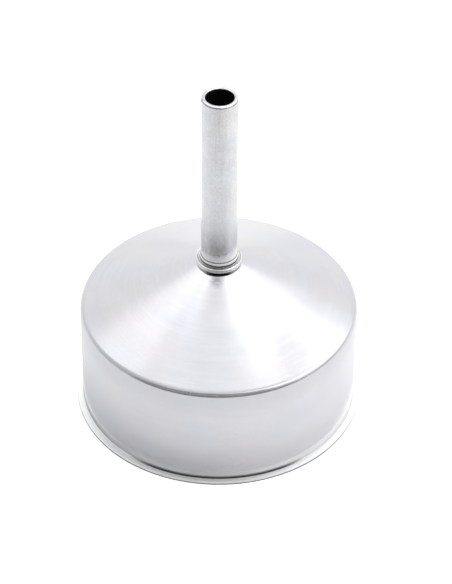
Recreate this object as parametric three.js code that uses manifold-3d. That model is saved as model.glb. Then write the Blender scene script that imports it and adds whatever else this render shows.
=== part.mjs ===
// Aluminium funnel of a stove-top coffee maker, standing on its rim with the stem up.
// Millimetres, +Z up. The origin is the centre of the rim's open face, so the funnel rests on z = 0.
// Four pieces: a drawn sheet shell, a tube riveted through its top, the collar ring under the tube's
// bead, and the perforated strainer that is pressed into the barrel up to the shoulder.
import * as THREE from "three";
import { mergeVertices } from "three/addons/utils/BufferGeometryUtils.js";
import Module from "manifold-3d";

// Shell
const SHEET = 1.0; // thickness of the drawn sheet
const BARREL_RADIUS = 37.3; // outside of the straight wall
const RIM_WIDTH = 1.7; // how far the flat rim stands out from the barrel
const RIM_BEND = 0.5; // radius in the crease between barrel and rim
const RIM_EDGE = 0.3; // rounding of the rim's cut edge
const SHOULDER_HEIGHT = 30.5; // where the wall's and the cone's outsides would meet
const SHOULDER_BEND = 1.8; // outside radius of the bend between wall and cone
const NECK_HEIGHT = 44.8; // outside of the flat land that the collar stands on
const LAND_WIDTH = 1.2; // of that land, from its hole to where the cone starts to fall away
const LAND_BEND = 1.5; // outside radius of that bend

// Stem tube
const STEM_RADIUS = 4.75;
const STEM_WALL = 1.05;
const STEM_TOP = 98.0; // height of the tube's mouth
const MOUTH_OUTER_EDGE = 0.45; // rounding outside the mouth
const MOUTH_INNER_EDGE = 0.3; // rounding inside the mouth
const BEAD_PROUD = 0.35; // how far the upset bead stands out from the tube
const BEAD_HEIGHT = 0.85;
const BEAD_EDGE = 0.3;
const FLARE_THICKNESS = 0.9; // of the tube's inner end, turned out under the land
const FLARE_EDGE = 0.3;
const FLARE_ENTRY = 1.0; // rounding from the flare into the bore

// Collar ring, with its width measured out from the tube
const COLLAR_WIDTH = 1.45;
const COLLAR_FOOT_SETBACK = 0.4; // of its foot from the land's edge
const COLLAR_FOOT_HEIGHT = 0.35;
const COLLAR_HEIGHT = 1.4; // of its widest part
const COLLAR_EDGE = 0.25;
const GROOVE_RISE = 0.62; // from the widest part's underside to the middle of its groove
const GROOVE_DEPTH = 0.2;
const GROOVE_HALF_WIDTH = 0.12;
const BOSS_WIDTH = 0.75; // small step on top of the ring, also out from the tube
const BOSS_HEIGHT = 0.22;

// Strainer
const STRAINER_SHEET = 0.6;
const STRAINER_SKIRT = 2.0; // height of its turned rim
const HOLE_RADIUS = 0.8;
const HOLE_PITCH = 4.6; // between rings of holes, and about that along each ring
const HOLES_PER_RING = 6; // ring number n has n times this many
const HOLE_MARGIN = 1.2; // least metal between the last ring of holes and the bend

// Clearances
const STEM_CLEARANCE = 0.05; // radial, around the tube in the shell's hole and the ring's bore
const CONTACT = 0.05; // between faces that are clamped together
const FLARE_CLEARANCE = 0.13; // between the flare and the start of the cone's underside
const STRAINER_CLEARANCE = 0.1; // between strainer and barrel

// Facets
const SHELL_FACETS = 64;
const STEM_FACETS = 32;
const HOLE_FACETS = 8;
const ARC_STEP = THREE.MathUtils.degToRad(32); // longest step along a rounded corner

// Sizes that follow from those
const RIM_RADIUS = BARREL_RADIUS + RIM_WIDTH;
const BARREL_BORE = BARREL_RADIUS - SHEET;
const STEM_HOLE = STEM_RADIUS + STEM_CLEARANCE;
const STEM_BORE = STEM_RADIUS - STEM_WALL;
const LAND_RADIUS = STEM_HOLE + LAND_WIDTH;
const LAND_UNDERSIDE = NECK_HEIGHT - SHEET;
const CONE_SLOPE = Math.atan2(NECK_HEIGHT - SHOULDER_HEIGHT, BARREL_RADIUS - LAND_RADIUS);
const UNDER_LAND_RADIUS = LAND_RADIUS - SHEET * Math.tan(CONE_SLOPE / 2);
const SHOULDER_TURN = Math.PI / 2 - CONE_SLOPE;
const SHOULDER_START = SHOULDER_HEIGHT - SHOULDER_BEND * Math.tan(SHOULDER_TURN / 2);
const COLLAR_BASE = NECK_HEIGHT + CONTACT;
const COLLAR_UNDERSIDE = COLLAR_BASE + COLLAR_FOOT_HEIGHT;
const COLLAR_TOP = COLLAR_UNDERSIDE + COLLAR_HEIGHT;
const BOSS_TOP = COLLAR_TOP + BOSS_HEIGHT;

const aluminium = (colour, roughness) =>
  new THREE.MeshStandardMaterial({ color: colour, roughness, metalness: 1 });

const corner = (radius, height, bend = 0) => ({ at: new THREE.Vector2(radius, height), bend });

// Height of the cone's outside and underside at a radius.
const coneTop = (radius) => NECK_HEIGHT - (radius - LAND_RADIUS) * Math.tan(CONE_SLOPE);
const coneUnderside = (radius) => coneTop(radius) - SHEET / Math.cos(CONE_SLOPE);

// The points of one corner, rounded to its bend radius by an arc that touches both of its sides.
function roundedCorner(before, { at, bend }, after) {
  const toBefore = before.clone().sub(at).normalize();
  const toAfter = after.clone().sub(at).normalize();
  const opening = Math.acos(THREE.MathUtils.clamp(toBefore.dot(toAfter), -1, 1));
  const turn = Math.PI - opening;
  if (bend === 0 || turn < 1e-6) return [at.clone()];
  const toCentre = toBefore.clone().add(toAfter).setLength(bend / Math.sin(opening / 2));
  const centre = at.clone().add(toCentre);
  const tangent = toBefore.clone().multiplyScalar(bend / Math.tan(opening / 2)).add(at);
  const side = Math.sign(toBefore.cross(toAfter));
  const steps = Math.ceil(turn / ARC_STEP);
  return Array.from({ length: steps + 1 }, (_, step) =>
    tangent.clone().rotateAround(centre, (-side * turn * step) / steps),
  );
}

// A closed outline round the corners, in order.
function outline(corners) {
  const count = corners.length;
  const points = corners.flatMap((here, i) =>
    roundedCorner(corners[(i + count - 1) % count].at, here, corners[(i + 1) % count].at),
  );
  return [...points, points[0].clone()];
}

// A piece turned about the Z axis from an outline of radius and height.
function turned(corners, facets) {
  return new THREE.LatheGeometry(outline(corners), facets).rotateX(Math.PI / 2);
}

// The drawn shell: rim, barrel, shoulder, cone and the land with the stem's hole.
function shellGeometry() {
  return turned(
    [
      corner(RIM_RADIUS, 0, RIM_EDGE),
      corner(RIM_RADIUS, SHEET, RIM_EDGE),
      corner(BARREL_RADIUS, SHEET, RIM_BEND),
      corner(BARREL_RADIUS, SHOULDER_HEIGHT, SHOULDER_BEND),
      corner(LAND_RADIUS, NECK_HEIGHT, LAND_BEND),
      corner(STEM_HOLE, NECK_HEIGHT),
      corner(STEM_HOLE, LAND_UNDERSIDE),
      corner(UNDER_LAND_RADIUS, LAND_UNDERSIDE, LAND_BEND - SHEET),
      corner(BARREL_BORE, coneUnderside(BARREL_BORE), SHOULDER_BEND - SHEET),
      corner(BARREL_BORE, 0, RIM_BEND + SHEET),
    ],
    SHELL_FACETS,
  );
}

// The ring that the tube's bead clamps down on the land, turned with a foot, a groove and a boss.
function collarGeometry() {
  const radius = STEM_RADIUS + COLLAR_WIDTH;
  const footRadius = LAND_RADIUS - COLLAR_FOOT_SETBACK;
  const bossRadius = STEM_RADIUS + BOSS_WIDTH;
  const groove = COLLAR_UNDERSIDE + GROOVE_RISE;
  return turned(
    [
      corner(STEM_HOLE, COLLAR_BASE),
      corner(footRadius, COLLAR_BASE),
      corner(footRadius, COLLAR_UNDERSIDE),
      corner(radius, COLLAR_UNDERSIDE, COLLAR_EDGE / 2),
      corner(radius, groove - GROOVE_HALF_WIDTH),
      corner(radius - GROOVE_DEPTH, groove),
      corner(radius, groove + GROOVE_HALF_WIDTH),
      corner(radius, COLLAR_TOP, COLLAR_EDGE),
      corner(bossRadius, COLLAR_TOP),
      corner(bossRadius, BOSS_TOP, BOSS_HEIGHT / 2),
      corner(STEM_HOLE, BOSS_TOP),
    ],
    STEM_FACETS,
  );
}

// The tube, with a rounded mouth, the bead over the collar and the end flared under the land.
function stemGeometry() {
  const beadRadius = STEM_RADIUS + BEAD_PROUD;
  const beadUnderside = BOSS_TOP + CONTACT;
  const beadTop = beadUnderside + BEAD_HEIGHT;
  const flareRadius = UNDER_LAND_RADIUS - FLARE_CLEARANCE;
  const flareTop = LAND_UNDERSIDE - CONTACT;
  const flareEnd = flareTop - FLARE_THICKNESS;
  return turned(
    [
      corner(STEM_BORE, flareEnd, FLARE_ENTRY),
      corner(flareRadius, flareEnd, FLARE_EDGE),
      corner(flareRadius, flareTop, FLARE_EDGE),
      corner(STEM_RADIUS, flareTop),
      corner(STEM_RADIUS, beadUnderside),
      corner(beadRadius, beadUnderside, BEAD_EDGE),
      corner(beadRadius, beadTop, BEAD_EDGE),
      corner(STEM_RADIUS, beadTop),
      corner(STEM_RADIUS, STEM_TOP, MOUTH_OUTER_EDGE),
      corner(STEM_BORE, STEM_TOP, MOUTH_INNER_EDGE),
    ],
    STEM_FACETS,
  );
}

const manifold = await Module();
manifold.setup();

function toSolid(geometry) {
  const bare = geometry.clone().deleteAttribute("normal").deleteAttribute("uv");
  const merged = mergeVertices(bare, 1e-4);
  const vertProperties = merged.attributes.position.array;
  const triVerts = new Uint32Array(merged.index.array);
  return new manifold.Manifold(new manifold.Mesh({ numProp: 3, vertProperties, triVerts }));
}

function fromSolid(solid) {
  const { vertProperties, triVerts } = solid.getMesh();
  const geometry = new THREE.BufferGeometry();
  geometry.setAttribute("position", new THREE.BufferAttribute(vertProperties, 3));
  geometry.setIndex(new THREE.BufferAttribute(triVerts, 1));
  geometry.computeVertexNormals();
  return geometry;
}

// Centres of the strainer's holes: one in the middle, then as many rings as its flat part has room for.
function holeCentres(flatRadius) {
  const centres = [new THREE.Vector2(0, 0)];
  const rings = Math.floor((flatRadius - HOLE_MARGIN - HOLE_RADIUS) / HOLE_PITCH);
  for (let ring = 1; ring <= rings; ring++) {
    const count = ring * HOLES_PER_RING;
    for (let i = 0; i < count; i++) {
      const angle = (2 * Math.PI * i) / count;
      centres.push(new THREE.Vector2(ring * HOLE_PITCH, 0).rotateAround(centres[0], angle));
    }
  }
  return centres;
}

// The strainer before its holes are punched: a disc whose bend nests in the shoulder, with a skirt.
function strainerBlank(radius, top, bend) {
  const underside = top - STRAINER_SHEET;
  const skirtInside = radius - STRAINER_SHEET;
  const skirtEnd = top - STRAINER_SKIRT;
  return turned(
    [
      corner(0, underside),
      corner(skirtInside, underside, Math.max(bend - STRAINER_SHEET, 0)),
      corner(skirtInside, skirtEnd),
      corner(radius, skirtEnd),
      corner(radius, top, bend),
      corner(0, top),
    ],
    SHELL_FACETS,
  );
}

// The strainer, pressed up the barrel until its bend meets the inside of the shoulder.
function strainerGeometry() {
  const radius = BARREL_BORE - STRAINER_CLEARANCE;
  const bend = SHOULDER_BEND - SHEET;
  const top = SHOULDER_START - STRAINER_CLEARANCE + bend;
  const length = 3 * STRAINER_SHEET;
  const punch = new THREE.CylinderGeometry(HOLE_RADIUS, HOLE_RADIUS, length, HOLE_FACETS)
    .rotateX(Math.PI / 2)
    .translate(0, 0, top - STRAINER_SHEET / 2);
  const punched = holeCentres(radius - bend).reduce(
    (plate, { x, y }) => plate.subtract(toSolid(punch.clone().translate(x, y, 0))),
    toSolid(strainerBlank(radius, top, bend)),
  );
  return fromSolid(punched);
}

const funnel = new THREE.Group();
for (const [name, geometry, material] of [
  ["funnel_body", shellGeometry(), aluminium(0xd6d7da, 0.34)],
  ["stem_tube", stemGeometry(), aluminium(0xd3d4d6, 0.4)],
  ["stem_collar", collarGeometry(), aluminium(0xdadbdd, 0.22)],
  ["strainer_plate", strainerGeometry(), aluminium(0xcfd0d3, 0.38)],
]) {
  const piece = new THREE.Mesh(geometry, material);
  piece.name = name;
  funnel.add(piece);
}

export default funnel;
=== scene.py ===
"""Funnel of a stove-top coffee maker, standing on its rim with the feed tube up.

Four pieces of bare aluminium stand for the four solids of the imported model: the drawn shell, the feed
tube, the collar ring between them and the strainer inside. Lengths are in metres, +Z up, in the frame
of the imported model, whose origin is the centre of the rim's open face.
"""

import logging
import math
from dataclasses import dataclass, field
from enum import Enum
from typing import Optional, Union

import bmesh
import bpy
from mathutils import Matrix, Vector


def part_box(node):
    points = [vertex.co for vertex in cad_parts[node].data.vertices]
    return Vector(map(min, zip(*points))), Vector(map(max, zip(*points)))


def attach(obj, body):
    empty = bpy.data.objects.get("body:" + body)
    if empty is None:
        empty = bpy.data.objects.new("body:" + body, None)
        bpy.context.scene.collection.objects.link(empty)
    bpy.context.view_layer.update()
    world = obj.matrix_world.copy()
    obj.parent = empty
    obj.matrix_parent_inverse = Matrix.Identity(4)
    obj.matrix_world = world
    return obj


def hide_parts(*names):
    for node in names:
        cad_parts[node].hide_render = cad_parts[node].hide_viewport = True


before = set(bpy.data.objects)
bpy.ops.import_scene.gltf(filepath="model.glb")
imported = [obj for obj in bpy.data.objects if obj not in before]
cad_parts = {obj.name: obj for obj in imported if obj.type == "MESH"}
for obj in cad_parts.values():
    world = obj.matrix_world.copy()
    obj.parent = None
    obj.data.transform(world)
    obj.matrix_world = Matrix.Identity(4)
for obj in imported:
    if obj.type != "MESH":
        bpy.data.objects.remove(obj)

MM = 0.001
BODY = "root"
MERGE = 1e-7
log = logging.getLogger("funnel")


# --------------------------------------------------------------------------- shader expressions

Value = Union["Socket", float, tuple]


class Socket:
    """An output of a node. Arithmetic on it adds Math nodes to the same tree."""

    def __init__(self, graph: "NodeGraph", link: bpy.types.NodeSocket) -> None:
        """Wraps one output socket of a graph."""
        self.graph = graph
        self.link = link

    def _math(self, operation: str, first: Value, second: Value) -> "Socket":
        """One Math node on two values."""
        return self.graph.node("ShaderNodeMath", {"operation": operation}, {0: first, 1: second})

    def __add__(self, other: Value) -> "Socket":
        """self + other."""
        return self._math("ADD", self, other)

    def __radd__(self, other: Value) -> "Socket":
        """other + self."""
        return self._math("ADD", other, self)

    def __sub__(self, other: Value) -> "Socket":
        """self - other."""
        return self._math("SUBTRACT", self, other)

    def __rsub__(self, other: Value) -> "Socket":
        """other - self."""
        return self._math("SUBTRACT", other, self)

    def __mul__(self, other: Value) -> "Socket":
        """self * other."""
        return self._math("MULTIPLY", self, other)

    def __rmul__(self, other: Value) -> "Socket":
        """other * self."""
        return self._math("MULTIPLY", other, self)

    def __pow__(self, other: Value) -> "Socket":
        """self ** other."""
        return self._math("POWER", self, other)

    def __abs__(self) -> "Socket":
        """The value without its sign."""
        return self._math("ABSOLUTE", self, 0.0)

    def floor(self, low: Value) -> "Socket":
        """The value, kept from falling below low."""
        return self._math("MAXIMUM", self, low)


class NodeGraph:
    """The node tree of one material or of the world."""

    def __init__(self, tree: bpy.types.NodeTree) -> None:
        """Takes a tree and empties it."""
        self.tree = tree
        tree.nodes.clear()

    def node(self, kind: str, settings: dict, inputs: dict, output: Union[int, str] = 0) -> Socket:
        """Adds one node.

        Args:
            kind: The node's type.
            settings: Its properties, such as an operation, set before its sockets.
            inputs: A value or a Socket for each socket, by name or number.
            output: Which output is returned.

        Returns:
            That output, ready for arithmetic.
        """
        node = self.tree.nodes.new(kind)
        for name, value in settings.items():
            setattr(node, name, value)
        for name, value in inputs.items():
            if isinstance(value, Socket):
                self.tree.links.new(value.link, node.inputs[name])
            else:
                node.inputs[name].default_value = value
        return Socket(self, node.outputs[output])

    def end(self, kind: str, shader: Socket) -> None:
        """Joins a shader to the tree's output.

        Args:
            kind: The output node's type.
            shader: What is shown.
        """
        node = self.tree.nodes.new(kind)
        self.tree.links.new(shader.link, node.inputs["Surface"])

    def axes(self, point: Socket) -> tuple[Socket, Socket, Socket]:
        """Splits a vector.

        Args:
            point: The vector.

        Returns:
            Its X, Y and Z.
        """
        split = self.node("ShaderNodeSeparateXYZ", {}, {0: point})
        outputs = split.link.node.outputs
        return Socket(self, outputs["X"]), Socket(self, outputs["Y"]), Socket(self, outputs["Z"])

    def noise(self, point: Socket, size: tuple[float, float, float], detail: float = 2.0) -> Socket:
        """Noise from 0 to 1, averaging about 0.5.

        Args:
            point: The coordinates it is read at.
            size: The size of its features along each axis, in metres.
            detail: How many finer layers it has.

        Returns:
            The noise's value.
        """
        scale = tuple(1.0 / length for length in size)
        mapped = self.node("ShaderNodeMapping", {}, {"Vector": point, "Scale": scale})
        inputs = {"Vector": mapped, "Scale": 1.0, "Detail": detail}
        return self.node("ShaderNodeTexNoise", {}, inputs, "Fac")

    def distance(self, point: Socket, place: tuple[float, float, float]) -> Socket:
        """How far a point is from a place."""
        return self.node("ShaderNodeVectorMath", {"operation": "DISTANCE"}, {0: point, 1: place}, "Value")

    def mix(self, mask: Value, first: Value, second: Value) -> Socket:
        """A colour between two, first where the mask is 0 and second where it is 1."""
        return self.node("ShaderNodeMix", {"data_type": "RGBA"}, {0: mask, 6: first, 7: second}, 2)


@dataclass(frozen=True)
class Step:
    """A smooth step from low to high, between a start and an end that may be below it."""

    start: float
    end: float
    low: float = 0.0
    high: float = 1.0

    def of(self, value: Socket) -> Socket:
        """Steps a value.

        Args:
            value: What is stepped.

        Returns:
            low before the start, high after the end and a smooth curve between them.
        """
        settings = {"interpolation_type": "SMOOTHSTEP"}
        inputs = {"From Min": self.start, "From Max": self.end, "To Min": self.low, "To Max": self.high}
        return value.graph.node("ShaderNodeMapRange", settings, {"Value": value, **inputs})


@dataclass(frozen=True)
class Band:
    """A mask that is 1 near a centre and falls smoothly to 0 on both sides."""

    centre: float
    half_width: float
    fade: float

    def of(self, value: Socket) -> Socket:
        """The mask at a value."""
        return Step(self.half_width + self.fade, self.half_width).of(abs(value - self.centre))


MOST = Step(0.3, 0.7)
CORE = Step(0.35, 0.65)
PATCHY = Step(0.3, 0.7, 0.6)


def off_axis(x: Socket, y: Socket) -> Socket:
    """The distance from the Z axis."""
    return (x * x + y * y) ** 0.5


def grey(level: float, red: float = 0.0, blue: float = 0.0) -> tuple[float, float, float, float]:
    """A near-neutral colour.

    Args:
        level: Its linear brightness.
        red: How much more red than green it has, as a share.
        blue: How much more blue than green it has, as a share.

    Returns:
        Red, green, blue and alpha.
    """
    return (level * (1 + red), level, level * (1 + blue), 1.0)


# --------------------------------------------------------------------------- finishes


class Grain(Enum):
    """Which way the fine lines of a worked surface run."""

    AROUND = "round the axis, as on spun or turned metal"
    ALONG = "along the axis, as on a drawn tube"
    ACROSS = "straight across, as on rolled sheet"

    @property
    def skew(self) -> float:
        """How much Y counts beside X along the lines that run round the axis."""
        return 0.7

    def lines(self, graph: NodeGraph, point: Socket, fine: float, long: float) -> Socket:
        """The noise that draws the lines.

        Args:
            graph: The tree that it is added to.
            point: The coordinates it is read at.
            fine: The spacing of the lines.
            long: The length of the lines.

        Returns:
            The noise's value, from 0 to 1.
        """
        if self is Grain.ALONG:
            return graph.noise(point, (fine, fine, long), 3.0)
        if self is Grain.ACROSS:
            return graph.noise(point, (fine, long, long), 3.0)
        x, y, height = graph.axes(point)
        axes = {0: off_axis(x, y), 1: x + y * self.skew, 2: height}
        turned = graph.node("ShaderNodeCombineXYZ", {}, axes)
        return graph.noise(turned, (fine, long, fine), 3.0)


@dataclass(frozen=True)
class Mark:
    """A place where a finish differs: its mask, its colour and how much rougher it is."""

    mask: Socket
    colour: tuple[float, float, float, float]
    rougher: float = 0.0


@dataclass(frozen=True)
class Aluminium:
    """Bare worked aluminium: cloudy in tone and tint, with grain lines and a fine speckle."""

    name: str
    light: float = 0.735
    dark: float = 0.635
    blue: float = 0.05
    tint: float = 0.014
    roughness: float = 0.24
    cloud_size: float = 10 * MM
    cloud_flatness: float = 0.6
    cloud_part: float = 0.22
    cloud_roughness: float = 0.05
    cloud_height: float = 0.008 * MM
    drift_size: float = 13 * MM
    grain: Grain = Grain.AROUND
    grain_fine: float = 0.35 * MM
    grain_long: float = 16 * MM
    grain_part: float = 0.18
    grain_roughness: float = 0.05
    grain_height: float = 0.002 * MM
    speckle_size: float = 0.35 * MM
    speckle_part: float = 0.25
    speckle_height: float = 0.002 * MM

    def marks(self, graph: NodeGraph, point: Socket) -> list[Mark]:
        """The marks on top of the plain finish, painted light and shade among them."""
        return []

    def colour(self, graph: NodeGraph, point: Socket, tone: Socket) -> Socket:
        """The metal's colour, which drifts between a cooler and a warmer grey.

        Args:
            graph: The tree that it is added to.
            point: The coordinates it is read at.
            tone: 0 where the metal is dark and 1 where it is light.

        Returns:
            The colour.
        """
        cool, warm = (
            graph.mix(tone, grey(self.dark, red, self.blue - red), grey(self.light, red, self.blue - red))
            for red in (-self.tint, self.tint)
        )
        drift = graph.noise(point, (self.drift_size,) * 3)
        return graph.mix(CORE.of(drift), cool, warm)

    def material(self) -> bpy.types.Material:
        """Builds the finish.

        Returns:
            A new material.
        """
        made = bpy.data.materials.new(self.name)
        made.use_nodes = True
        graph = NodeGraph(made.node_tree)
        point = graph.node("ShaderNodeTexCoord", {}, {}, "Object")
        upright = self.cloud_flatness * self.cloud_size
        cloud = graph.noise(point, (self.cloud_size, self.cloud_size, upright), 4.0)
        grain = self.grain.lines(graph, point, self.grain_fine, self.grain_long)
        speckle = graph.noise(point, (self.speckle_size,) * 3)

        tone = MOST.of(cloud) * self.cloud_part + MOST.of(grain) * self.grain_part
        colour = self.colour(graph, point, tone + CORE.of(speckle) * self.speckle_part)
        uneven = (cloud - 0.5) * (2 * self.cloud_roughness) + (grain - 0.5) * self.grain_roughness
        roughness = uneven + self.roughness
        for mark in self.marks(graph, point):
            colour = graph.mix(mark.mask, colour, mark.colour)
            roughness = roughness + mark.mask * mark.rougher

        relief = cloud * self.cloud_height + grain * self.grain_height + speckle * self.speckle_height
        normal = graph.node("ShaderNodeBump", {}, {"Strength": 1.0, "Distance": 1.0, "Height": relief})
        inputs = {"Base Color": colour, "Metallic": 1.0, "Roughness": roughness, "Normal": normal}
        graph.end("ShaderNodeOutputMaterial", graph.node("ShaderNodeBsdfPrincipled", {}, inputs))
        return made


@dataclass(frozen=True)
class DrawnSheet(Aluminium):
    """Aluminium of the shell, with its marks, most of them painted light and shade.

    The shoulder bend and the barrel's top are darker and the barrel is matt at its foot. Painted shade
    darkens the barrel's left side towards its foot, the left of the foot, the rim's outer edge and the
    crease above the rim; the rim is painted pale as a painted highlight; a painted reflection of the collar
    lies on the cone in front of it, and painted shadow round the collar's foot. Each step's name ends in
    what it is a step of: side is the distance from the plane x = 0.
    """

    patch_size: tuple[float, float, float] = (5 * MM, 5 * MM, 3 * MM)
    wall_by_radius: Step = Step(33.5 * MM, 35.5 * MM)

    shoulder: Band = Band(30.6 * MM, 0.25 * MM, 0.45 * MM)
    shoulder_by_side: Step = Step(32 * MM, 14 * MM, 0.2)
    shoulder_part: float = 0.3
    shoulder_dark_wander: float = 5 * MM
    shoulder_dark_by_rise: Step = Step(-9 * MM, -1 * MM, 0.0, 0.2)
    shoulder_dark_by_height: Step = Step(30.9 * MM, 30.2 * MM)

    left_shade_by_x: Step = Step(16 * MM, -8 * MM)
    left_shade_end_by_x: Step = Step(-36 * MM, -22 * MM, 0.3)
    left_shade_by_height: Step = Step(30 * MM, 28 * MM)
    shade_toward_foot_by_height: Step = Step(13 * MM, 4 * MM, 0.08, 0.36)

    rim_by_height: Step = Step(1.3 * MM, 1.05 * MM)
    foot_by_height: Step = Step(3.8 * MM, 1.7 * MM)
    foot_by_side: Step = Step(6 * MM, 22 * MM, 0.35, 0.8)
    dark_foot_by_x: Step = Step(-12 * MM, -36 * MM, 0.0, 0.8)
    lip_by_height: Step = Step(0.6 * MM, 0.4 * MM)
    lip_by_y: Step = Step(-38 * MM, -28 * MM, 0.75, 0.92)
    crease: Band = Band(37.48 * MM, 0.12 * MM, 0.14 * MM)
    crease_by_height: Step = Step(1.75 * MM, 1.35 * MM)
    crease_by_y: Step = Step(-28 * MM, -34 * MM, 0.0, 0.95)
    crease_by_x: Step = Step(4 * MM, 24 * MM, 0.05, 0.2)

    collar_reflection_place: tuple[float, float, float] = (-0.7 * MM, -7.6 * MM, 44.1 * MM)
    collar_reflection_streak: tuple[float, float, float] = (2.4 * MM, 0.4 * MM, 0.4 * MM)
    collar_reflection_wander: float = 4.5 * MM
    collar_reflection_by_distance: Step = Step(2.3 * MM, 0.9 * MM)
    collar_reflection_by_streak: Step = Step(0.3, 0.6, 0.25)
    collar_shadow_wander: float = 0.4 * MM
    collar_shadow_by_radius: Step = Step(6.5 * MM, 6.15 * MM)
    collar_shadow_by_y: Step = Step(-4.4 * MM, -5.8 * MM, 0.1)
    collar_shadow_by_height: Step = Step(43 * MM, 44 * MM)

    def marks(self, graph: NodeGraph, point: Socket) -> list[Mark]:
        """The darker shoulder, the left side's painted shade, the matt foot, the rim's painted highlight,
        the painted shade of its edge and crease, the collar's painted reflection and painted shadow.

        Args:
            graph: The tree that they are added to.
            point: The coordinates they are read at.

        Returns:
            The marks, each over those before it.
        """
        x, y, height = graph.axes(point)
        side, radius = abs(x), off_axis(x, y)
        patches = graph.noise(point, self.patch_size, 4.0)
        wall = self.wall_by_radius.of(radius)

        on_shoulder = self.shoulder.of(height) * self.shoulder_by_side.of(side)
        rise = height - self.shoulder.centre - (patches - 0.5) * self.shoulder_dark_wander
        under = self.shoulder_dark_by_rise.of(rise) * self.shoulder_dark_by_height.of(height)
        shoulder_dark = (on_shoulder * self.shoulder_part + under * (1 - on_shoulder)) * wall * PATCHY.of(patches)

        left_shade = self.left_shade_by_x.of(x) * self.left_shade_end_by_x.of(x) * self.left_shade_by_height.of(height)
        barrel_shade = left_shade * self.shade_toward_foot_by_height.of(height) * PATCHY.of(patches)

        rim = self.rim_by_height.of(height)
        foot = self.foot_by_height.of(height) * self.foot_by_side.of(side) * wall * (1 - rim)
        lip = self.lip_by_height.of(height) * self.lip_by_y.of(y)
        deep = self.crease_by_y.of(y).floor(self.crease_by_x.of(x))
        crease = self.crease.of(radius) * self.crease_by_height.of(height) * deep

        streaks = graph.noise(point, self.collar_reflection_streak, 3.0)
        away = graph.distance(point, self.collar_reflection_place) + (streaks - 0.5) * self.collar_reflection_wander
        collar_reflection = self.collar_reflection_by_distance.of(away) * self.collar_reflection_by_streak.of(streaks)
        near = self.collar_shadow_by_radius.of(radius + (patches - 0.5) * self.collar_shadow_wander)
        collar_shadow = near * self.collar_shadow_by_y.of(y) * self.collar_shadow_by_height.of(height)
        return [
            # Darker along the shoulder bend and, less, on the barrel's top just below it.
            Mark(shoulder_dark, grey(0.3, 0.0, 0.02), 0.08),
            # Painted shade: the barrel's left side, darker towards its foot, for the table's shadow that it
            # reflects.
            Mark(barrel_shade, grey(0.36, 0.0, 0.04), 0.06),
            Mark(foot, grey(0.78), 0.4),
            # Painted shade: the left of the barrel's foot painted darker.
            Mark(foot * self.dark_foot_by_x.of(x), grey(0.5), 0.5),
            # Painted highlight: the rim painted paler than the barrel, and rougher.
            Mark(rim, grey(0.95, -0.01, 0.0), 0.3),
            # Painted shade: the rim's outer edge next to the table painted nearly black.
            Mark(lip, grey(0.06), 0.1),
            # Painted shade: the crease between the barrel and the rim painted black, most at the front.
            Mark(crease, grey(0.05), 0.2),
            # Painted reflection: a streaky grey smudge on the cone in front of the collar, where the collar
            # and tube are reflected.
            Mark(collar_reflection * 0.85, grey(0.33, 0.0, 0.1), 0.15),
            # Painted shadow: the cone just outside the collar's foot painted black at the front.
            Mark(collar_shadow, grey(0.03), 0.3),
        ]


@dataclass(frozen=True)
class TurnedRing(Aluminium):
    """Turned aluminium of the collar, with painted shade in the step round its boss and under the ring."""

    patch_size: float = 1 * MM
    step: Band = Band(5.55 * MM, 0.2 * MM, 0.22 * MM)
    step_by_height: Step = Step(46.0 * MM, 46.2 * MM)
    step_by_y: Step = Step(-1.0 * MM, -5.0 * MM, 0.25)
    under_by_height: Step = Step(45.6 * MM, 45.42 * MM)
    under_by_y: Step = Step(-4.4 * MM, -5.8 * MM, 0.1)

    def marks(self, graph: NodeGraph, point: Socket) -> list[Mark]:
        """The painted shade in the step and under the ring.

        Args:
            graph: The tree that they are added to.
            point: The coordinates they are read at.

        Returns:
            The marks, each over those before it.
        """
        x, y, height = graph.axes(point)
        patchy = PATCHY.of(graph.noise(point, (self.patch_size,) * 3, 3.0))
        # Painted shade: the step round the boss painted dark, most at the front.
        step = self.step.of(off_axis(x, y)) * self.step_by_height.of(height) * self.step_by_y.of(y)
        # Painted shade: the ring's underside and foot painted nearly black, most at the front.
        under = self.under_by_height.of(height) * self.under_by_y.of(y)
        return [Mark(step * patchy * 0.85, grey(0.1), 0.2), Mark(under, grey(0.03), 0.3)]


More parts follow.
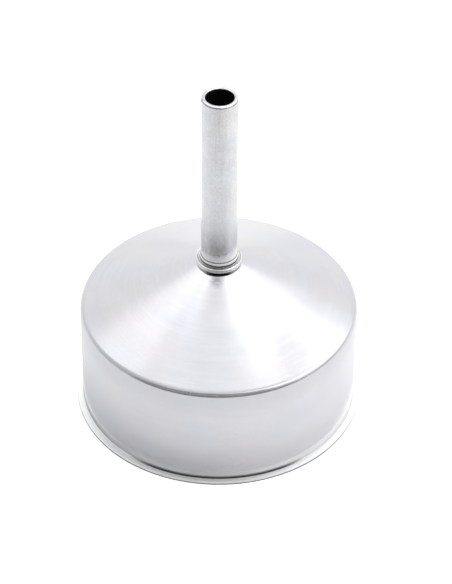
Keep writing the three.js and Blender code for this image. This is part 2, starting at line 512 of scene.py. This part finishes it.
@dataclass(frozen=True)
class DrawnTube(Aluminium):
    """Drawn aluminium of the tube: rougher and painted pale above its bead, with painted shade and
    reflection.
    """

    crimp_by_height: Step = Step(51.0 * MM, 48.6 * MM)
    crimp_wander: float = 2.2 * MM
    crimp_tilt: float = 0.12
    crimp_teeth: tuple[float, float, float] = (0.45 * MM, 0.45 * MM, 1.6 * MM)
    grit_size: float = 0.3 * MM
    grit: Step = Step(0.3, 0.6, 0.7)
    bead_crease: Band = Band(47.8 * MM, 0.05 * MM, 0.14 * MM)
    bead_foot_by_height: Step = Step(47.1 * MM, 46.9 * MM)
    blotch_size: float = 2 * MM
    blotch: Step = Step(0.35, 0.6, 0.45)
    left_shade_by_height: Step = Step(62 * MM, 52 * MM)
    left_shade_by_x: Step = Step(1 * MM, -3 * MM)
    mouth_edge: Band = Band(97.62 * MM, 0.08 * MM, 0.14 * MM)
    burr_place: tuple[float, float, float] = (-4.6 * MM, -1.2 * MM, 97.7 * MM)
    burr_by_distance: Step = Step(0.5 * MM, 0.25 * MM, 0.0, 0.9)

    def marks(self, graph: NodeGraph, point: Socket) -> list[Mark]:
        """The left side's painted shade, the pale band, the bead's painted shade, the mouth's painted
        reflection and burr.

        Args:
            graph: The tree that they are added to.
            point: The coordinates they are read at.

        Returns:
            The marks, each over those before it.
        """
        x, _, height = graph.axes(point)
        teeth = graph.noise(point, self.crimp_teeth, 3.0)
        top = height - (teeth - 0.5) * self.crimp_wander - x * self.crimp_tilt
        grit = self.grit.of(graph.noise(point, (self.grit_size,) * 3))
        blotchy = self.blotch.of(graph.noise(point, (self.blotch_size,) * 3, 3.0))
        left_shade = self.left_shade_by_height.of(height) * self.left_shade_by_x.of(x) * blotchy
        return [
            # Painted shade: the tube's lower left side painted darker in blotches.
            Mark(left_shade * 0.25, grey(0.35, 0.0, 0.05), 0.05),
            # Painted highlight on a rougher finish: the band above the bead painted pale.
            Mark(self.crimp_by_height.of(top) * grit, grey(0.94), 0.42),
            # Painted shade: a dark line in the crease of the bead.
            Mark(self.bead_crease.of(height) * 0.8, grey(0.12), 0.1),
            # Painted shade: the bead's lower part and all below it painted nearly black.
            Mark(self.bead_foot_by_height.of(height) * 0.85, grey(0.08), 0.1),
            # Painted reflection: a dark line round the mouth's outer edge, broken up in blotches.
            Mark(self.mouth_edge.of(height) * blotchy * 0.7, grey(0.15), 0.05),
            Mark(self.burr_by_distance.of(graph.distance(point, self.burr_place)), grey(0.12), 0.2),
        ]


@dataclass(frozen=True)
class ShadedBore(Aluminium):
    """The inside of the tube, painted near black as painted shade for the deep bore."""

    light: float = 0.035
    dark: float = 0.015
    blue: float = 0.0
    roughness: float = 0.65


# --------------------------------------------------------------------------- turned shapes


@dataclass(frozen=True)
class Corner:
    """A corner of a turned outline, and the radius that it is rounded to."""

    radius: float
    height: float
    bend: float = 0.0

    @property
    def place(self) -> Vector:
        """The corner in the plane y = 0."""
        return Vector((self.radius, 0.0, self.height))


def tangent_length(before: Vector, here: Vector, after: Vector, bend: float) -> float:
    """How far from a corner an arc of that radius touches its two sides."""
    opening = (before - here).angle(after - here)
    return bend / math.tan(opening / 2)


def turn_outline(corners: list[Corner], steps: int, arc_steps: int = 6) -> bmesh.types.BMesh:
    """Turns a closed outline about the Z axis.

    Args:
        corners: The outline's corners, in order.
        steps: How many facets there are round the axis.
        arc_steps: How many facets each rounded corner has.

    Returns:
        The closed solid, with its faces outward.
    """
    mesh = bmesh.new()
    verts = [mesh.verts.new(corner.place) for corner in corners]
    mesh.faces.new(verts)
    for i, corner in enumerate(corners):
        if corner.bend > 0:
            neighbours = corners[i - 1].place, corner.place, corners[(i + 1) % len(corners)].place
            bmesh.ops.bevel(
                mesh,
                geom=[verts[i]],
                offset=tangent_length(*neighbours, corner.bend),
                offset_type="OFFSET",
                affect="VERTICES",
                segments=arc_steps,
                profile=0.5,
                material=-1,
            )
    bmesh.ops.delete(mesh, geom=mesh.faces[:], context="FACES_ONLY")
    spin(mesh, steps)
    return mesh


def spin(mesh: bmesh.types.BMesh, steps: int) -> None:
    """Turns everything in a mesh once about the Z axis, joins the seam and faces it outward.

    Args:
        mesh: The outline, which becomes the turned surface.
        steps: How many facets there are round the axis.
    """
    bmesh.ops.spin(
        mesh,
        geom=mesh.verts[:] + mesh.edges[:],
        cent=(0, 0, 0),
        axis=(0, 0, 1),
        angle=2 * math.pi,
        steps=steps,
        use_merge=True,
    )
    bmesh.ops.remove_doubles(mesh, verts=mesh.verts[:], dist=MERGE)
    bmesh.ops.recalc_face_normals(mesh, faces=mesh.faces[:])


def make_piece(name: str, mesh: bmesh.types.BMesh, node: str) -> bpy.types.Object:
    """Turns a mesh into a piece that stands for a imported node.

    Args:
        name: The piece's name.
        mesh: Its shape, which is freed.
        node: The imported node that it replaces.

    Returns:
        The piece, at the origin and riding on the body.
    """
    data = bpy.data.meshes.new(name)
    for face in mesh.faces:
        face.smooth = True
    mesh.to_mesh(data)
    mesh.free()
    piece = bpy.data.objects.new(name, data)
    bpy.context.scene.collection.objects.link(piece)
    weighted = piece.modifiers.new("even_shading", "WEIGHTED_NORMAL")
    weighted.keep_sharp = True
    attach(piece, BODY)
    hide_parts(node)
    return piece


# --------------------------------------------------------------------------- pieces


@dataclass
class Shell:
    """The drawn body: flat rim, barrel, shoulder, cone and the land that the collar stands on."""

    sheet: float = 1.0 * MM
    rim_width: float = 1.7 * MM
    rim_bend: float = 0.3 * MM
    rim_edge: float = 0.22 * MM
    shoulder_height: float = 30.5 * MM
    shoulder_bend: float = 1.8 * MM
    land_bend: float = 1.5 * MM
    land_radius: float = 6.0 * MM
    hole_radius: float = 4.8 * MM
    facets: int = 512
    finish: Aluminium = field(default_factory=lambda: DrawnSheet("drawn_sheet"))
    piece: Optional[bpy.types.Object] = None

    def __post_init__(self) -> None:
        """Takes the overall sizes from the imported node."""
        low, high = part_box("funnel_body")
        self.rim_radius = high.x
        self.base = low.z
        self.neck = high.z
        self.barrel = self.rim_radius - self.rim_width
        self.slope = math.atan2(self.neck - self.shoulder_height, self.barrel - self.land_radius)

    def corners(self) -> list[Corner]:
        """Works out the outline of the shell's wall.

        Returns:
            Its corners, from the rim's edge over the outside and back inside.
        """
        bore = self.barrel - self.sheet
        under_land = self.land_radius - self.sheet * math.tan(self.slope / 2)
        cone_drop = (bore - self.land_radius) * math.tan(self.slope)
        under_shoulder = self.neck - cone_drop - self.sheet / math.cos(self.slope)
        return [
            Corner(self.rim_radius, self.base, self.rim_edge),
            Corner(self.rim_radius, self.base + self.sheet, self.rim_edge),
            Corner(self.barrel, self.base + self.sheet, self.rim_bend),
            Corner(self.barrel, self.shoulder_height, self.shoulder_bend),
            Corner(self.land_radius, self.neck, self.land_bend),
            Corner(self.hole_radius, self.neck),
            Corner(self.hole_radius, self.neck - self.sheet),
            Corner(under_land, self.neck - self.sheet, self.land_bend - self.sheet),
            Corner(bore, under_shoulder, self.shoulder_bend - self.sheet),
            Corner(bore, self.base, self.rim_bend + self.sheet),
        ]

    def build(self) -> None:
        """Makes the piece."""
        mesh = turn_outline(self.corners(), self.facets)
        self.piece = make_piece("shell", mesh, "funnel_body")

    def dress(self) -> None:
        """Gives the piece its finish."""
        self.piece.data.materials.append(self.finish.material())


@dataclass
class CollarRing:
    """The ring that the tube's bead clamps on the land: foot, grooved rim and boss."""

    width: float = 1.45 * MM
    foot_radius: float = 5.6 * MM
    foot_height: float = 0.6 * MM
    height: float = 1.15 * MM
    edge: float = 0.2 * MM
    groove_rise: float = 0.58 * MM
    groove_depth: float = 0.2 * MM
    groove_half_width: float = 0.12 * MM
    lip: float = 0.4 * MM
    lip_slope: float = 0.09 * MM
    step_depth: float = 0.22 * MM
    boss_width: float = 0.75 * MM
    hole_radius: float = 4.8 * MM
    facets: int = 192
    finish: Aluminium = field(
        default_factory=lambda: TurnedRing(
            "turned_ring", light=0.78, dark=0.69, blue=0.01, roughness=0.18, grain_fine=0.12 * MM
        )
    )
    piece: Optional[bpy.types.Object] = None

    def corners(self) -> list[Corner]:
        """Works out the ring's outline.

        Returns:
            Its corners, from the hole's lower end outward and back over the top.
        """
        low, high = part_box("stem_collar")
        underside = low.z + self.foot_height
        groove = underside + self.groove_rise
        top = underside + self.height
        boss = high.x - self.width + self.boss_width
        return [
            Corner(self.hole_radius, low.z),
            Corner(self.foot_radius, low.z),
            Corner(self.foot_radius, underside),
            Corner(high.x, underside, self.edge / 2),
            Corner(high.x, groove - self.groove_half_width),
            Corner(high.x - self.groove_depth, groove),
            Corner(high.x, groove + self.groove_half_width),
            Corner(high.x, top - self.lip_slope, self.edge),
            Corner(high.x - self.lip, top),
            Corner(boss + self.lip / 2, top - self.step_depth),
            Corner(boss, top - self.step_depth),
            Corner(boss, high.z, (high.z - top) / 2),
            Corner(self.hole_radius, high.z),
        ]

    def build(self) -> None:
        """Makes the piece."""
        mesh = turn_outline(self.corners(), self.facets, 5)
        self.piece = make_piece("collar_ring", mesh, "stem_collar")

    def dress(self) -> None:
        """Gives the piece its finish."""
        self.piece.data.materials.append(self.finish.material())


@dataclass
class FeedTube:
    """The drawn tube, with a rounded mouth, the bead over the collar and a flared inner end."""

    radius: float = 4.75 * MM
    wall: float = 1.05 * MM
    mouth_outer_edge: float = 0.45 * MM
    mouth_inner_edge: float = 0.3 * MM
    bead_proud: float = 0.35 * MM
    bead_height: float = 0.85 * MM
    bead_edge: float = 0.3 * MM
    contact: float = 0.05 * MM
    flare_thickness: float = 0.9 * MM
    flare_edge: float = 0.3 * MM
    flare_entry: float = 1.0 * MM
    bore_margin: float = 0.02 * MM
    facets: int = 192
    finish: Aluminium = field(
        default_factory=lambda: DrawnTube(
            "drawn_tube",
            light=0.74,
            dark=0.53,
            blue=0.03,
            tint=0.02,
            roughness=0.23,
            cloud_size=6 * MM,
            drift_size=7.8 * MM,
            cloud_part=0.3,
            grain=Grain.ALONG,
            grain_fine=0.25 * MM,
            grain_long=12 * MM,
            grain_part=0.3,
            grain_height=0.003 * MM,
            speckle_part=0.4,
            speckle_height=0.008 * MM,
        )
    )
    # The bore's finish is painted shade: near black for the deep bore.
    bore_finish: Aluminium = field(default_factory=lambda: ShadedBore("bore_painted_shade"))
    piece: Optional[bpy.types.Object] = None

    @property
    def bore(self) -> float:
        """The bore's radius."""
        return self.radius - self.wall

    def corners(self) -> list[Corner]:
        """Works out the tube's outline.

        Returns:
            Its corners, from the bore's lower end up the outside to the mouth.
        """
        low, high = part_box("stem_tube")
        flare = low.z + self.flare_thickness
        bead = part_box("stem_collar")[1].z + self.contact
        proud = self.radius + self.bead_proud
        return [
            Corner(self.bore, low.z, self.flare_entry),
            Corner(high.x, low.z, self.flare_edge),
            Corner(high.x, flare, self.flare_edge),
            Corner(self.radius, flare),
            Corner(self.radius, bead),
            Corner(proud, bead, self.bead_edge),
            Corner(proud, bead + self.bead_height, self.bead_edge),
            Corner(self.radius, bead + self.bead_height),
            Corner(self.radius, high.z, self.mouth_outer_edge),
            Corner(self.bore, high.z, self.mouth_inner_edge),
        ]

    def build(self) -> None:
        """Makes the piece, with the bore's faces set apart for their own finish."""
        mesh = turn_outline(self.corners(), self.facets, 5)
        for face in mesh.faces:
            if face.calc_center_median().xy.length < self.bore + self.bore_margin:
                face.material_index = 1
        self.piece = make_piece("feed_tube", mesh, "stem_tube")

    def dress(self) -> None:
        """Gives the outside and the bore their finishes."""
        self.piece.data.materials.append(self.finish.material())
        self.piece.data.materials.append(self.bore_finish.material())


@dataclass
class Strainer:
    """The perforated disc, with a bend that nests in the shoulder and a short skirt."""

    sheet: float = 0.6 * MM
    bend: float = 0.8 * MM
    hole_radius: float = 0.8 * MM
    hole_chamfer: float = 0.1 * MM
    hole_sides: int = 16
    pitch: float = 4.6 * MM
    rings: int = 7
    holes_per_ring: int = 6
    bend_share: float = 0.999
    bend_steps: int = 6
    facets: int = 256
    finish: Aluminium = field(
        default_factory=lambda: Aluminium(
            "punched_sheet", roughness=0.3, grain=Grain.ACROSS, grain_height=0.003 * MM
        )
    )
    piece: Optional[bpy.types.Object] = None

    def centres(self) -> list[Vector]:
        """Places the holes: one in the centre, then rings of 6, 12, 18 and so on.

        Returns:
            The middle of each hole, in plan.
        """
        found = [Vector((0, 0, 0))]
        for ring in range(1, self.rings + 1):
            count = ring * self.holes_per_ring
            for i in range(count):
                turn = Matrix.Rotation(2 * math.pi * i / count, 3, "Z")
                found.append(turn @ Vector((ring * self.pitch, 0, 0)))
        return found

    def build(self) -> None:
        """Makes the piece: the turned skirt, the holes' walls, and the flat faces between them."""
        low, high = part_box("strainer_plate")
        top, underside = high.z, high.z - self.sheet
        flat = high.x - self.bend
        mesh = bmesh.new()
        self._skirt(mesh, high.x, flat, top, underside, low.z)
        for centre in self.centres():
            self._hole(mesh, centre, top, underside)
        for height in (top, underside):
            rims = [e for e in mesh.edges if e.is_boundary and self._level(e, height)]
            bmesh.ops.triangle_fill(mesh, edges=rims, use_beauty=True, use_dissolve=False)
        slivers = [face for face in mesh.faces if face.calc_area() < MERGE**2]
        bmesh.ops.delete(mesh, geom=slivers, context="FACES")
        bmesh.ops.recalc_face_normals(mesh, faces=mesh.faces[:])
        self.piece = make_piece("strainer", mesh, "strainer_plate")

    def dress(self) -> None:
        """Gives the piece its finish."""
        self.piece.data.materials.append(self.finish.material())

    @staticmethod
    def _level(edge: bmesh.types.BMEdge, height: float) -> bool:
        """Whether an edge lies flat at a height."""
        return all(abs(vert.co.z - height) < MERGE for vert in edge.verts)

    def _skirt(
        self, mesh: bmesh.types.BMesh, radius: float, flat: float, top: float, under: float, end: float
    ) -> None:
        """Turns the bend and skirt, open where the flat disc joins them.

        Args:
            mesh: The mesh that they are made in.
            radius: The skirt's outside radius.
            flat: Where the flat disc ends.
            top: The disc's upper face.
            under: Its lower face.
            end: The skirt's lower edge.
        """
        inside = radius - self.sheet
        outline = [(flat, top), (radius, top), (radius, end), (inside, end), (inside, under), (flat, under)]
        verts = [mesh.verts.new((r, 0, z)) for r, z in outline]
        for first, second in zip(verts, verts[1:]):
            mesh.edges.new((first, second))
        for vert, bend in ((verts[1], self.bend), (verts[4], self.bend - self.sheet)):
            bmesh.ops.bevel(
                mesh,
                geom=[vert],
                offset=bend * self.bend_share,
                offset_type="OFFSET",
                affect="VERTICES",
                segments=self.bend_steps,
                profile=0.5,
                material=-1,
            )
        spin(mesh, self.facets)

    def _hole(self, mesh: bmesh.types.BMesh, centre: Vector, top: float, underside: float) -> None:
        """Makes one hole's wall, with a chamfer at both ends.

        Args:
            mesh: The mesh that it is made in.
            centre: The hole's middle, in plan.
            top: The disc's upper face.
            underside: Its lower face.
        """
        place = Matrix.Translation((centre.x, centre.y, top))
        wide = self.hole_radius + self.hole_chamfer
        made = bmesh.ops.create_circle(
            mesh, cap_ends=False, segments=self.hole_sides, radius=wide, matrix=place
        )
        edges = list({edge for vert in made["verts"] for edge in vert.link_edges})
        widths = (self.hole_radius, self.hole_radius, wide)
        heights = (top - self.hole_chamfer, underside + self.hole_chamfer, underside)
        before, level = wide, top
        for width, height in zip(widths, heights):
            grown = bmesh.ops.extrude_edge_only(mesh, edges=edges)["geom"]
            verts = [item for item in grown if isinstance(item, bmesh.types.BMVert)]
            edges = [item for item in grown if isinstance(item, bmesh.types.BMEdge) and item.is_boundary]
            bmesh.ops.translate(mesh, verts=verts, vec=(0, 0, height - level))
            flat_scale = (width / before, width / before, 1)
            bmesh.ops.scale(mesh, verts=verts, vec=flat_scale, space=Matrix.Translation(-centre))
            before, level = width, height


# --------------------------------------------------------------------------- studio


@dataclass(frozen=True)
class Softbox:
    """A rectangle of soft light that faces the funnel.

    Azimuth is counted from +Y towards +X, and elevation from the table, both in degrees.
    """

    name: str
    azimuth: float
    elevation: float
    distance: float
    size: tuple[float, float]
    level: float

    def build(self, aim: Vector) -> None:
        """Adds the light.

        Args:
            aim: The point that it faces.
        """
        data = bpy.data.lights.new(self.name, "AREA")
        data.shape = "RECTANGLE"
        data.size, data.size_y = self.size
        data.energy = self.level * math.pi * self.size[0] * self.size[1]
        turn = Matrix.Rotation(-math.radians(self.azimuth), 3, "Z")
        rise = Matrix.Rotation(math.radians(self.elevation), 3, "X")
        outward = turn @ rise @ Vector((0, 1, 0))
        light = bpy.data.objects.new(self.name, data)
        light.location = aim + outward * self.distance
        light.rotation_euler = (-outward).to_track_quat("-Z", "Y").to_euler()
        light.visible_camera = False
        bpy.context.scene.collection.objects.link(light)


@dataclass(frozen=True)
class Flag:
    """A dark card on the table, out of the picture, that darkens what the metal reflects."""

    name: str
    place: tuple[float, float, float]
    size: tuple[float, float]
    grey: float

    def build(self) -> None:
        """Adds the card, upright and facing along Y."""
        mesh = bmesh.new()
        bmesh.ops.create_grid(mesh, x_segments=1, y_segments=1, size=0.5)
        bmesh.ops.scale(mesh, vec=(self.size[0], self.size[1], 1), verts=mesh.verts[:])
        bmesh.ops.rotate(mesh, matrix=Matrix.Rotation(math.pi / 2, 3, "X"), verts=mesh.verts[:])
        bmesh.ops.translate(mesh, vec=self.place, verts=mesh.verts[:])
        card = make_stage(self.name, mesh, self.grey)
        card.visible_camera = False


def clear_below(graph: NodeGraph, surface: Socket) -> Socket:
    """Makes a level sheet clear from beneath and where the funnel covers it, to show the funnel's inside.

    Args:
        graph: The tree of the sheet's material.
        surface: The sheet's own shader.

    Returns:
        The shader that is clear in those places.
    """
    behind = graph.node("ShaderNodeNewGeometry", {}, {}, "Backfacing")
    place = graph.node("ShaderNodeNewGeometry", {}, {}, "Position")
    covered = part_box("funnel_body")[1].x - 0.3 * MM
    under = Step(covered, covered - 0.1 * MM).of(graph.distance(place, (0.0, 0.0, 0.0)))
    clear = graph.node("ShaderNodeBsdfTransparent", {}, {})
    return graph.node("ShaderNodeMixShader", {}, {0: behind.floor(under), 1: surface, 2: clear})


def make_stage(
    name: str, mesh: bmesh.types.BMesh, level: float, glow: float = 0.0, see_through: bool = False
) -> bpy.types.Object:
    """Makes an object of the studio.

    Args:
        name: Its name.
        mesh: Its shape, which is freed.
        level: How pale it is.
        glow: How much light shines through it.
        see_through: Whether it is clear from beneath and where the funnel covers it.

    Returns:
        The object, with a matte finish.
    """
    data = bpy.data.meshes.new(name)
    mesh.to_mesh(data)
    mesh.free()
    made = bpy.data.objects.new(name, data)
    bpy.context.scene.collection.objects.link(made)
    material = bpy.data.materials.new(name)
    material.use_nodes = True
    graph = NodeGraph(material.node_tree)
    inputs = {"Base Color": grey(level), "Roughness": 0.9, "Specular IOR Level": 0.1}
    inputs.update({"Emission Color": grey(1.0), "Emission Strength": glow})
    surface = graph.node("ShaderNodeBsdfPrincipled", {}, inputs)
    graph.end("ShaderNodeOutputMaterial", clear_below(graph, surface) if see_through else surface)
    data.materials.append(material)
    return made


@dataclass(frozen=True)
class RoomLight:
    """The room's own light, as the sum of soft parts from a few sides."""

    even: float = 0.65
    back: float = 0.47
    above: float = 0.45
    backdrop: float = 0.98

    def build(self) -> None:
        """Makes the world and gives it to the scene."""
        world = bpy.data.worlds.new("room")
        bpy.context.scene.world = world
        world.use_nodes = True
        graph = NodeGraph(world.node_tree)
        _, y, z = graph.axes(graph.node("ShaderNodeTexCoord", {}, {}, "Generated"))
        level = y.floor(0.0) * self.back + z.floor(0.0) ** 3.0 * self.above
        seen = graph.node("ShaderNodeLightPath", {}, {}, "Is Camera Ray")
        shown = (level + self.even) * (1 - seen) + seen * self.backdrop
        colour = graph.node("ShaderNodeCombineColor", {}, {0: shown, 1: shown, 2: shown})
        background = graph.node("ShaderNodeBackground", {}, {"Color": colour, "Strength": 1.0})
        graph.end("ShaderNodeOutputWorld", background)


@dataclass
class Studio:
    """A white table under soft light, in a room that is darker on the near side."""

    floor_size: float = 6.0
    floor_white: float = 0.9
    paper_white: float = 0.9
    paper_glow: float = 0.5
    aim: tuple[float, float, float] = (0.0, 0.0, 30 * MM)
    room: RoomLight = RoomLight()
    lights: tuple[Softbox, ...] = (
        Softbox("back_right_softbox", 30, 66, 0.7, (0.3, 0.3), 4.2),
        Softbox("back_left_softbox", -30, 66, 0.7, (0.3, 0.3), 1.43),
        Softbox("left_softbox", -55, 52, 0.7, (0.3, 0.3), 0.38),
        Softbox("low_back_softbox", 30, 40, 0.7, (0.3, 0.2), 0.58),
        Softbox("right_softbox", 90, 35, 0.7, (0.9, 0.5), 0.66),
        Softbox("high_right_softbox", 90, 45, 0.69, (0.3, 0.2), 0.92),
        Softbox("near_right_softbox", 120, 40, 0.69, (0.3, 0.2), 0.67),
        Softbox("front_softbox", 150, 40, 0.7, (0.4, 0.3), 1.05),
    )
    flags: tuple[Flag, ...] = (
        Flag("low_flag", (0.0, -0.2, 0.03), (0.8, 0.06), 0.12),
        Flag("middle_flag", (-0.12, -0.2, 0.09), (0.56, 0.06), 0.4),
        Flag("high_flag", (-0.12, -0.2, 0.16), (0.56, 0.08), 0.22),
    )

    def build(self) -> None:
        """Makes the table, the pale sheet that only the camera sees, the lights and the flags."""
        self._table("table_top", self.floor_white, 0.0, 0.0).visible_camera = False
        paper = self._table("table_paper", self.paper_white, 0.1 * MM, self.paper_glow)
        paper.visible_diffuse = paper.visible_glossy = paper.visible_shadow = False
        self.room.build()
        for light in self.lights:
            light.build(Vector(self.aim))
        for flag in self.flags:
            flag.build()
        bpy.context.scene.view_settings.view_transform = "Standard"

    def _table(self, name: str, level: float, height: float, glow: float) -> bpy.types.Object:
        """Makes a level sheet under the funnel.

        Args:
            name: Its name.
            level: How pale it is.
            height: How high it lies.
            glow: How much light shines through it.

        Returns:
            The sheet.
        """
        mesh = bmesh.new()
        bmesh.ops.create_grid(mesh, x_segments=1, y_segments=1, size=self.floor_size / 2)
        bmesh.ops.translate(mesh, verts=mesh.verts[:], vec=(0, 0, height))
        return make_stage(name, mesh, level, glow, see_through=True)


@dataclass
class Camera:
    """The camera, looking down at the funnel from the front."""

    lens: float = 146.55
    place: tuple[float, float, float] = (0.0, -487.32 * MM, 444.87 * MM)
    aim: tuple[float, float, float] = (1.92 * MM, 0.0, 34.02 * MM)
    roll: float = math.radians(0.448)

    def build(self) -> None:
        """Makes the camera and gives it to the scene."""
        data = bpy.data.cameras.new("camera")
        data.lens = self.lens
        camera = bpy.data.objects.new("camera", data)
        camera.location = self.place
        gaze = Vector(self.aim) - Vector(self.place)
        turn = gaze.to_track_quat("-Z", "Y").to_matrix().to_4x4() @ Matrix.Rotation(self.roll, 4, "Z")
        camera.rotation_euler = turn.to_euler()
        bpy.context.scene.collection.objects.link(camera)
        bpy.context.scene.camera = camera


def main() -> None:
    """Builds the funnel in its studio."""
    logging.basicConfig(level=logging.INFO, format="%(name)s: %(message)s")
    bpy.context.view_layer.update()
    Camera().build()
    Studio().build()
    for part in (Shell(), CollarRing(), FeedTube(), Strainer()):
        part.build()
        part.dress()
        log.info("%s: %d faces", part.piece.name, len(part.piece.data.polygons))


if __name__ == "__main__":
    main()
